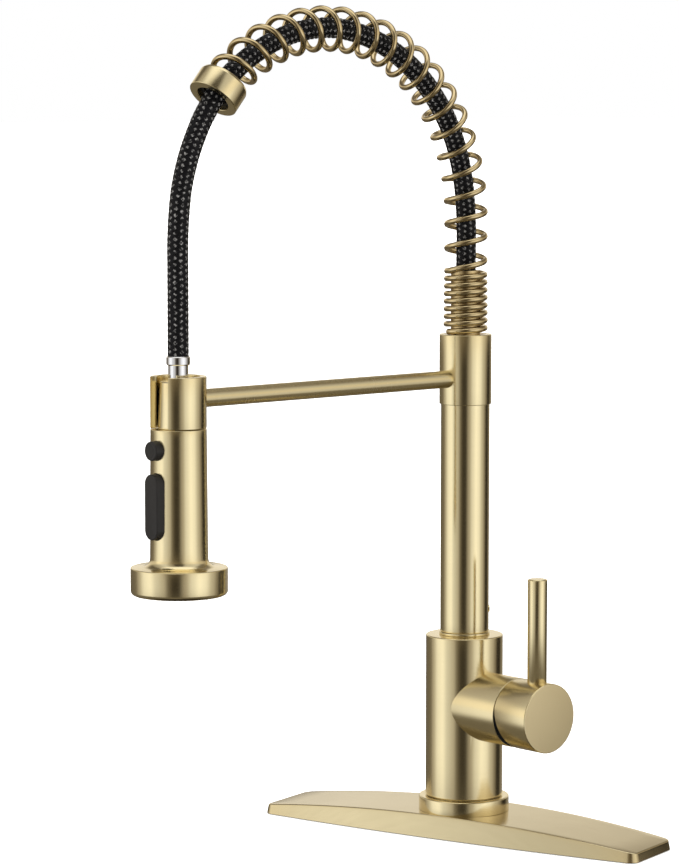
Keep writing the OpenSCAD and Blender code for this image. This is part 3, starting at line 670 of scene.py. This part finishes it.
def around_x(radius, place_of, sides=160):
    """A loop round the handle's axis; place_of gives x from the sideways and upward offsets."""
    loop = []
    for k in range(sides):
        a = math.tau * k / sides
        y, z = radius * math.cos(a), radius * math.sin(a)
        loop.append(Vector((place_of(y, z), y, handle_height + z)) * mm)
    return loop


def on_body(y, z):
    """How far out the body's surface is at a sideways offset."""
    return math.sqrt(body_radius**2 - y**2) - 0.05


def flat_at(x):
    """A flat end, square to the handle's axis."""
    return lambda y, z: x


boss_end, boss_round = 45.0, 0.35
boss_loops = [around_x(valve_bore, on_body), around_x(hub_radius, on_body)]
for inset, short in rounded_edge(boss_round):
    boss_loops.append(around_x(hub_radius - inset, flat_at(boss_end - short)))
boss_loops.append(around_x(valve_bore, flat_at(boss_end)))
seal_rubber = moulded("seal_rubber", (0.012, 0.012, 0.012), 0.6, 2500.0)
boss = placed(skinned("side_boss", boss_loops, gold_cross), "root", "brushed_gold", "valve_boss")
# painted shade: the boss's end face round the valve bore is painted black rubber to stand for the
# shade in the gap under the cap
repaint(boss, seal_rubber, lambda spot: spot.x > boss_end - 0.01 and from_handle_axis(spot) < 19)

# ---------- handle ----------
# A turned cap over the valve with a round lever pushed into its top. The cap's inner end is
# cut at a slant below its middle, which leaves room for it to tilt.

gap_start, hub_end, hub_round, cap_wall = 45.4, 70.6, 0.5, 3.25
slant = math.tan(math.radians(12))


def slanted(inset):
    """The cap's inner end: square at its top and slanting away from a little above the axis."""
    return lambda y, z: gap_start + inset + max(0.0, 5.0 - z) * slant


hub_loops = [around_x(0.0, flat_at(56.0)), around_x(hub_radius - cap_wall, flat_at(56.0))]
hub_loops.append(around_x(hub_radius - cap_wall, slanted(0)))
hub_loops.append(around_x(hub_radius - 0.35, slanted(0)))
hub_loops.append(around_x(hub_radius - 0.1, slanted(0.1)))
hub_loops.append(around_x(hub_radius, slanted(0.35)))
for inset, short in rounded_edge(hub_round):
    hub_loops.append(around_x(hub_radius - inset, flat_at(hub_end - short)))
hub_loops.append(around_x(0.0, flat_at(hub_end)))
cap = placed(skinned("handle_cap", hub_loops, gold_cross), "handle", "brushed_gold", "handle_hub")
repaint(cap, gold_end, lambda spot: spot.x > hub_end - 0.01)
# painted shade: the cap's inner walls and slanted inner end are painted black rubber to stand for
# the shade in the gap over the boss
repaint(cap, seal_rubber, lambda spot: spot.x < 56.1 and from_handle_axis(spot) < 19.3)

lever_x, lever_radius, lever_top, lever_round = 60.5, 5.6, 156.0, 0.9
lever_loops = []
lever_outline = [(0.0, 83.0), (lever_radius, 0.0)]
for inset, short in rounded_edge(lever_round):
    lever_outline.append((lever_radius - inset, lever_top - short))
lever_outline.append((0.0, lever_top))
for radius, height in lever_outline:
    loop = []
    for k in range(96):
        a = math.tau * k / 96
        x, y = radius * math.cos(a), radius * math.sin(a)
        z = height or handle_height + math.sqrt((hub_radius - 0.05) ** 2 - y * y)
        loop.append(Vector((lever_x + x, y, z)) * mm)
    lever_loops.append(loop)
placed(skinned("handle_rod", lever_loops, gold_turned), "handle", "brushed_gold", "handle_lever")

# ---------- column ----------
# A plain tube that swivels on the body, with a thicker sleeve round its upper end. A bearing
# ring shows as a shadow line under it, and one hex socket screw locks it to its nipple.

tube_radius, tube_bottom, column_top = 14.15, 118.9, 292.9
sleeve_outer, sleeve_bottom, arm_height = 15.1, 252.3, 267.3
placed(turned("swivel_bearing_ring", [
    (12.08, body_top, 0), (14.7, body_top, 0.2), (14.7, body_top + 1.6, 0.3),
    (12.08, body_top + 1.6, 0),
], gold_turned), "root", "brushed_gold", "swivel_ring")
tube = turned("column_pipe", [
    (12.2, tube_bottom, 0), (tube_radius, tube_bottom, 0.3), (tube_radius, 126, 0),
    (tube_radius, 138, 0), (tube_radius, column_top, 0), (12.2, column_top, 0),
], gold_turned)
screw_turn, screw_height = math.radians(49), 132.0
screw_hole = turned("screw_hole_cutter", [(0, 10, 0), (2.1, 10, 0), (2.1, 20, 0), (0, 20, 0)],
                    gold_turned, (0, 0, screw_height), "x", 40)
screw_hole.data.transform(Matrix.Rotation(screw_turn, 4, "Z"))
placed(cut(tube, screw_hole), "column", "brushed_gold", "column_tube")
placed(turned("column_top_sleeve", [
    (tube_radius + 0.02, sleeve_bottom, 0), (sleeve_outer, sleeve_bottom, 0.35),
    (sleeve_outer, column_top, 0.5), (tube_radius + 0.02, column_top, 0),
], gold_turned), "column", "brushed_gold", "column_sleeve")

# ---------- spring ----------
# One gold plated steel wire, coiled close round the spigot on the column and open round the
# arch, where it holds the hose up. Its last turn ends inside the collar.

# The wire's gold plating is darker and browner than the body's gold. The extra darkness is painted
# shade, standing for the coils' dark edges and gaps.
gold_wire = brushed_metal("gold_wire", (0.62, 0.50, 0.285), 0.13, (900.0, 900.0, 900.0),
                          grain=0.05, depth=1.0)
arch_radius, arch_height, wire, spring_end = 106.5, 361.0, 3.4, 135
close_turns, close_pitch, open_turns, spring_radius = 8.0, 4.4, 20.25, 11.2
arch_parts = 270


def arch_point(a):
    """The point of the arch's centre line at an angle from its start."""
    return Vector((0, arch_radius * (math.cos(a) - 1), arch_height + arch_radius * math.sin(a)))


spring_path = [Vector((0, 0, column_top + wire / 2)) * mm]
for k in range(arch_parts + 1):
    spring_path.append(arch_point(math.radians(spring_end) * k / arch_parts) * mm)
spring = grown("arch_spring_wire", spring_path, winding, {
    "Across": (1, 0, 0), "Strands": 1, "Steps": 1900, "Sides": 16, "Hand": 1.0,
    "Radius": spring_radius * mm, "Phase": math.radians(255), "Close Turns": close_turns,
    "Close Length": close_turns * close_pitch * mm, "Open Turns": open_turns, "Width": wire * mm,
    "Thickness": wire * mm, "Weave": 0.0, "Material": gold_wire,
})
placed(spring, "column", "gold_wire", "arch_spring")

collar_start, collar_end, collar_tilt = 133.4, 140.4, 3.0
collar_length = arch_radius * math.radians(collar_end - collar_start)


def on_arch(piece, degrees, tilt):
    """Moves a piece made about the origin to its place round the arch, and tilts it there."""
    turn = Matrix.Rotation(math.radians(degrees) + math.radians(tilt), 4, "X")
    piece.data.transform(Matrix.Translation(arch_point(math.radians(degrees)) * mm) @ turn)
    return piece


half = collar_length / 2
collar = turned("hose_collar", [
    (9.54, half, 0.4), (9.54, half - 6, 0), (13.4, half - 6, 0), (13.4, -half, 0),
    (13.55, -half, 0.05), (14.3, -half + 1.5, 0.6), (14.3, half, 0.5),
], gold_turned, sides=144)
placed(on_arch(collar, (collar_start + collar_end) / 2, collar_tilt),
       "column", "brushed_gold", "spring_collar")

# ---------- docking arm ----------
# A round bar from the column to an open sleeve that the spray head hangs in. A countersunk
# screw inside the sleeve holds the two together, and the slot lets the hose in.

reach = 213.0
gold_arm = brushed_metal("gold_arm", gold_colour, 0.25, (along_grain, across_grain, along_grain))
arm_radius, dock_radius, dock_bore, dock_top, slot_half = 5.05, 15.3, 11.9, 280.3, 7.75


def arm_loop(end_radius, centre_y, sign):
    """The bar's end where it meets an upright tube."""
    loop = []
    for k in range(96):
        a = math.tau * k / 96
        x, z = arm_radius * math.cos(a), arm_radius * math.sin(a)
        y = centre_y + sign * (math.sqrt(end_radius**2 - x * x) - 0.05)
        loop.append(Vector((x, y, arm_height + z)) * mm)
    return loop


placed(skinned("dock_bar", [
    arm_loop(sleeve_outer, 0, -1), arm_loop(dock_radius, -reach, 1)], gold_arm, closed=False),
    "column", "brushed_gold", "dock_arm")


def dock_sleeve_loops(sections=120):
    """Sections of the sleeve's wall from one edge of its slot round to the other."""
    wall = filleted([
        (dock_bore, sleeve_bottom, 0.3), (dock_radius, sleeve_bottom, 0.35),
        (dock_radius, dock_top, 0.45), (dock_bore, dock_top, 0.35)])
    loops = []
    for k in range(sections + 1):
        share = k / sections
        loop = []
        for r, h in wall:
            edge = math.asin(slot_half / r)
            a = -math.pi / 2 + edge + (math.tau - 2 * edge) * share
            loop.append(Vector((r * math.cos(a), r * math.sin(a) - reach, h)) * mm)
        loops.append(loop)
    return loops


placed(skinned("dock_holder", dock_sleeve_loops(), gold_turned, closed=False),
       "column", "brushed_gold", "dock_sleeve")

# ---------- hose end ----------
# A bright steel ferrule crimped over the sleeve's end, and the stem that clicks into the
# spray head and lets it turn.

placed(turned("crimped_ferrule", [
    (4.0, 286.2, 0), (6.0, 286.2, 0.2), (6.5, 286.8, 0.2), (6.5, 290.5, 0.3), (6.1, 291.1, 0.3),
    (4.0, 291.1, 0),
], bright_steel, (0, -reach, 0), sides=96), "hose_end", "bright_steel", "hose_ferrule")

# ---------- spray head ----------
# A long gold plated grip that flares into a wide disc. Its neck is a cone that seats in the
# dock sleeve, and two black buttons stand out of openings in its front.

head_centre = (0, -reach, 0)
head_top, disc_top, head_bottom = 251.9, 176.5, 161.3
grip_radius, foot_radius, disc_radius, grip_bore = 15.3, 15.9, 26.45, 13.2
placed(turned("head_cone", [
    (4.0, 262, 0), (4.0, 243, 0), (6.5, 243, 0.2), (6.5, 246.6, 0), (8.9, 246.6, 0),
    (8.9, head_top + 0.05, 0), (11.3, head_top + 0.05, 0.3), (10.3, 277.6, 0.8),
    (5.6, 277.6, 0.2), (5.6, 262, 0),
], gold_turned, head_centre, sides=128), "spray_head", "brushed_gold", "head_neck")
shell = turned("spray_grip", [
    (grip_bore, 249.5, 0), (9.05, 249.5, 0), (9.05, head_top, 0.1),
    (grip_radius, head_top, 0.4), (grip_radius + 0.03, 247.5, 0), (grip_radius + 0.12, 234.5, 0),
    (grip_radius + 0.17, 230, 0), (grip_radius + 0.45, 190, 0),
    (foot_radius, disc_top + 0.3, 4.6), (disc_radius, disc_top - 0.05, 0.5),
    (disc_radius, head_bottom, 2.4), (24.35, head_bottom, 0.2), (24.2, 174.0, 0),
    (grip_bore, 174.0, 0),
], gold_turned, head_centre, sides=192)


def bar_form(name, material, rows, width, length, samples=40):
    """A bar with round ends that stands upright and points forwards: rows are (depth,
    inset) pairs, from its back to its front."""
    loops = []
    centre_height, half_straight = 210.4, (length - width) / 2
    for depth, inset in rows:
        loop = []
        for k in range(2 * samples):
            a = math.pi * k / (samples - 1) if k < samples else math.pi * (k - 1) / (samples - 1)
            side = 1 if k < samples else -1
            radius = width / 2 - inset
            loop.append((Vector((
                radius * math.cos(a), -depth, centre_height + side * half_straight
                + radius * math.sin(a))) + Vector(head_centre)) * mm)
        loops.append(loop)
    return skinned(name, loops, material, closed=False, angle=40)


rocker_width, rocker_length, button_face, pause_height = 10.9, 35.8, 19.5, 240.8
cut(shell, bar_form("rocker_opening_cutter", gold_turned, [(8, -0.2), (24, -0.2)],
                    rocker_width, rocker_length + 0.5))
cut(shell, turned("button_opening_cutter", [(0, 8, 0), (5.5, 8, 0), (5.5, 24, 0), (0, 24, 0)],
                  gold_turned, (0, -reach, pause_height), "y", 64))
placed(shell, "spray_head", "brushed_gold", "head_shell")

# ---------- buttons ----------
# Two moulded black buttons: a round one that pauses the flow, and a rocker with round ends
# that tilts on a pin to change from stream to spray.

black_plastic = moulded("black_plastic", (0.014, 0.013, 0.0125), 0.36, 2500.0, 0.25)
placed(turned("pause_cap", [
    (0, 9.6, 0), (5.3, 9.6, 0.2), (5.3, button_face, 0.7), (3.9, button_face, 0.2),
    (3.8, button_face - 0.12, 0.1), (0, button_face - 0.12, 0),
], black_plastic, (0, -reach, pause_height), "y", 96), "pause", "black_plastic", "pause_button")
face_rows = [(8.6, 0.0)] + [(button_face - short, inset) for inset, short in rounded_edge(0.7)]
placed(bar_form("spray_rocker", black_plastic, face_rows, rocker_width, rocker_length),
       "rocker", "black_plastic", "rocker_button")

# ---------- spray face ----------
# A black face plate with rings of soft rubber nozzles pushed through it from behind, round
# a steel aerator that gives the straight stream.

nozzle_rubber = moulded("nozzle_rubber", (0.16, 0.165, 0.17), 0.6, 3000.0)
nozzle_counts = [12, 18, 24]


def nozzle_tree():
    """Rows of small tapered nozzles on rings about the origin, pointing down."""
    tree = bpy.data.node_groups.new("nozzle_rings", "GeometryNodeTree")
    add_sockets(tree, "INPUT", {
        "Geometry": "Geometry", "Length": "Float", "Tip Radius": "Float",
        "Root Radius": "Float", "First Ring": "Float", "Ring Step": "Float",
        "Material": "Material"})
    add_sockets(tree, "OUTPUT", {"Geometry": "Geometry"})
    given = tree.nodes.new("NodeGroupInput").outputs
    nozzle = add_node(tree, "GeometryNodeMeshCone", {
        "Vertices": 20, "Side Segments": 2, "Fill Segments": 2, "Radius Top": given["Root Radius"],
        "Radius Bottom": given["Tip Radius"], "Depth": given["Length"]})
    joined = tree.nodes.new("GeometryNodeJoinGeometry")
    for number, count in enumerate(nozzle_counts):
        size = maths(tree, "MULTIPLY_ADD", given["Ring Step"], float(number),
                     given["First Ring"])
        ring = add_node(tree, "GeometryNodeMeshCircle", {"Vertices": count, "Radius": size})
        spots = add_node(tree, "GeometryNodeInstanceOnPoints", {
            "Points": ring.outputs["Mesh"], "Instance": nozzle.outputs["Mesh"]})
        tree.links.new(spots.outputs["Instances"], joined.inputs["Geometry"])
    real = add_node(tree, "GeometryNodeRealizeInstances",
                    {"Geometry": joined.outputs["Geometry"]})
    finish = add_node(tree, "GeometryNodeSetMaterial",
                      {"Geometry": real.outputs["Geometry"], "Material": given["Material"]})
    add_node(tree, "NodeGroupOutput", {"Geometry": finish.outputs["Geometry"]})
    return tree


nozzles = grown("spray_nozzles", [Vector((0, 0, 0)), Vector((0, 0, mm))], nozzle_tree(), {
    "Length": 5.0 * mm, "Tip Radius": 0.75 * mm, "Root Radius": 1.1 * mm,
    "First Ring": 12.0 * mm, "Ring Step": 4.0 * mm, "Material": nozzle_rubber})
nozzles.data.transform(Matrix.Translation(Vector((0, -reach, 161.5)) * mm))
placed(nozzles, "spray_head", "nozzle_rubber", "nozzle_pad")
placed(turned("spray_face_plate", [
    (8.04, 162.2, 0.3), (24.1, 162.2, 0.4), (24.1, 164.8, 0), (8.04, 164.8, 0),
], black_plastic, head_centre, sides=128), "spray_head", "black_plastic", "spray_face")

# ---------- inner pieces ----------
# What the covers hide keeps its CAD shape: the valve cartridge, seals, clips, waterways and
# fixings. Each takes the material of what it is made of.

white_plastic = moulded("white_plastic", (0.68, 0.66, 0.61), 0.4, 2500.0)
red_plastic = moulded("red_plastic", (0.30, 0.045, 0.03), 0.45, 2500.0)
white_ceramic = moulded("white_ceramic", (0.8, 0.79, 0.76), 0.12, 6000.0, 0.5)
inner_materials = {
    seal_rubber: ["deck_gasket", "base_seal", "rubber_washer", "pivot_seals", "hose_seal",
                  "collar_liner"],
    bright_steel: ["steel_washer", "pivot_circlip", "cartridge_pin", "cartridge_stem",
                   "handle_set_screw", "dock_screw", "hose_tail_plug", "hose_stem",
                   "swivel_clip", "filter_screen", "rocker_pin", "aerator"],
    raw_brass: ["mounting_shank", "mounting_nut", "cartridge_nut", "pivot_nipple",
                "spring_seat"],
    gold_turned: ["column_set_screw"],
    white_plastic: ["cartridge_case", "cartridge_rotor", "waterway_core", "spray_housing"],
    red_plastic: ["cartridge_base_seal", "diverter_spool"],
    white_ceramic: ["fixed_ceramic_disc", "moving_ceramic_disc"],
}
for material, names in inner_materials.items():
    for name in names:
        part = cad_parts[name]
        if not part.data.materials:
            part.data.materials.append(material)
        for slot in part.material_slots:
            slot.material = material

# ---------- floor and light ----------
# A pale floor in the plane of the deck, and a studio of broad soft boxes: bright at both
# sides, dark behind the camera, and a white sweep behind the object.


def plain_floor():
    """A wide, pale, matt floor."""
    material, tree, shader = new_material("floor")
    shader.inputs["Base Color"].default_value = (0.93, 0.93, 0.93, 1)
    shader.inputs["Roughness"].default_value = 0.9
    shader.inputs["Specular IOR Level"].default_value = 0.0
    shader.inputs["Emission Color"].default_value = (1, 1, 1, 1)
    shader.inputs["Emission Strength"].default_value = 0.5
    shape = bmesh.new()
    bmesh.ops.create_grid(shape, x_segments=1, y_segments=1, size=30.0)
    mesh = bpy.data.meshes.new("floor")
    shape.to_mesh(mesh)
    shape.free()
    mesh.transform(Matrix.Translation((0, 0, -0.4 * mm)))
    mesh.materials.append(material)
    floor = new_piece("floor", mesh)
    floor.visible_glossy = False


def studio_world():
    """Brightness by direction: one ramp round the level, one above it, and a bright top."""
    world = bpy.data.worlds.new("studio")
    scene.world = world
    world.use_nodes = True
    tree = world.node_tree
    tree.nodes.clear()
    ray = tree.nodes.new("ShaderNodeTexCoord").outputs["Generated"]
    parts = add_node(tree, "ShaderNodeSeparateXYZ", {0: ray}).outputs
    azimuth = maths(tree, "ARCTAN2", parts["X"], maths(tree, "MULTIPLY", parts["Y"], -1.0))
    azimuth = maths(tree, "SUBTRACT", azimuth, camera_turn)
    azimuth = maths(tree, "WRAP", azimuth, math.pi, -math.pi)
    share = maths(tree, "MULTIPLY_ADD", azimuth, 1 / math.tau, 0.5)

    def ramp(stops, tint=(1.0, 1.0, 1.0)):
        """Brightness by azimuth from the camera's side; what is dark is also warmer."""
        made = add_node(tree, "ShaderNodeValToRGB", {"Fac": share})
        made.color_ramp.interpolation = "EASE"
        points = made.color_ramp.elements
        while len(points) > 1:
            points.remove(points[-1])
        for number, (degrees, value) in enumerate(stops):
            spot = degrees / 360 + 0.5
            point = points[0] if number == 0 else points.new(spot)
            warm = 1 - min(value / 0.6, 1)
            point.position = spot
            tone = (1, 1 - 0.16 * warm, 1 - 0.38 * warm)
            point.color = (*[value * a * b for a, b in zip(tone, tint)], 1)
        return made.outputs["Color"]

    def mixed_by_height(lower, upper, start, end):
        """One band of the studio turning into the next one up."""
        factor = add_node(tree, "ShaderNodeMapRange", {
            "Value": parts["Z"], "From Min": start, "From Max": end},
            interpolation_type="SMOOTHSTEP")
        return add_node(tree, "ShaderNodeMix", {
            "Factor": factor.outputs["Result"], "A": lower, "B": upper},
            data_type="RGBA").outputs["Result"]

    level = ramp([(-180, 0.10), (-140, 0.12), (-121, 0.15), (-108, 0.38), (-86, 0.84),
                  (-70, 0.95), (-53, 0.60), (-36, 0.46), (-22, 0.11), (-12, 0.028), (1, 0.028),
                  (16, 0.34), (35, 0.74), (52, 0.97), (65, 0.86), (88, 0.43), (104, 0.19),
                  (113, 0.02), (128, 0.015), (140, 0.16), (152, 0.24), (180, 0.14)])
    above = ramp([(-180, 0.66), (-130, 0.5), (-108, 0.5), (-86, 0.84), (-55, 0.6), (-20, 0.15),
                  (5, 0.1), (35, 0.6), (60, 0.75), (95, 0.45), (125, 0.3), (150, 0.55),
                  (180, 0.66)], (1.12, 1.05, 0.92))
    high = ramp([(-180, 0.14), (-132, 0.1), (-112, 0.34), (-60, 0.6), (-30, 0.3), (-12, 0.05),
                 (14, 0.06), (35, 0.5), (80, 0.55), (110, 0.15), (180, 0.2)])
    bands = mixed_by_height((0.02, 0.017, 0.012, 1), (0.13, 0.115, 0.09, 1), -0.92, -0.7)
    bands = mixed_by_height(bands, level, -0.45, -0.22)
    bands = mixed_by_height(bands, above, -0.04, 0.08)
    bands = mixed_by_height(bands, high, 0.25, 0.5)
    bands = mixed_by_height(bands, (1.0, 0.98, 0.94, 1), 0.78, 0.93)
    studio = add_node(tree, "ShaderNodeBackground", {"Color": bands, "Strength": 1.35})
    sweep = add_node(tree, "ShaderNodeBackground", {"Color": (1, 1, 1, 1), "Strength": 1.0})
    seen = tree.nodes.new("ShaderNodeLightPath").outputs["Is Camera Ray"]
    mixed = add_node(tree, "ShaderNodeMixShader",
                     {0: seen, 1: studio.outputs[0], 2: sweep.outputs[0]})
    add_node(tree, "ShaderNodeOutputWorld", {"Surface": mixed.outputs[0]})


plain_floor()
studio_world()
wash = bpy.data.objects.new("overhead_wash", bpy.data.lights.new("overhead_wash", "SUN"))
wash.data.energy = 2.6
wash.data.angle = math.radians(70)
wash.visible_glossy = False
scene.collection.objects.link(wash)
scene.view_settings.view_transform = "Standard"
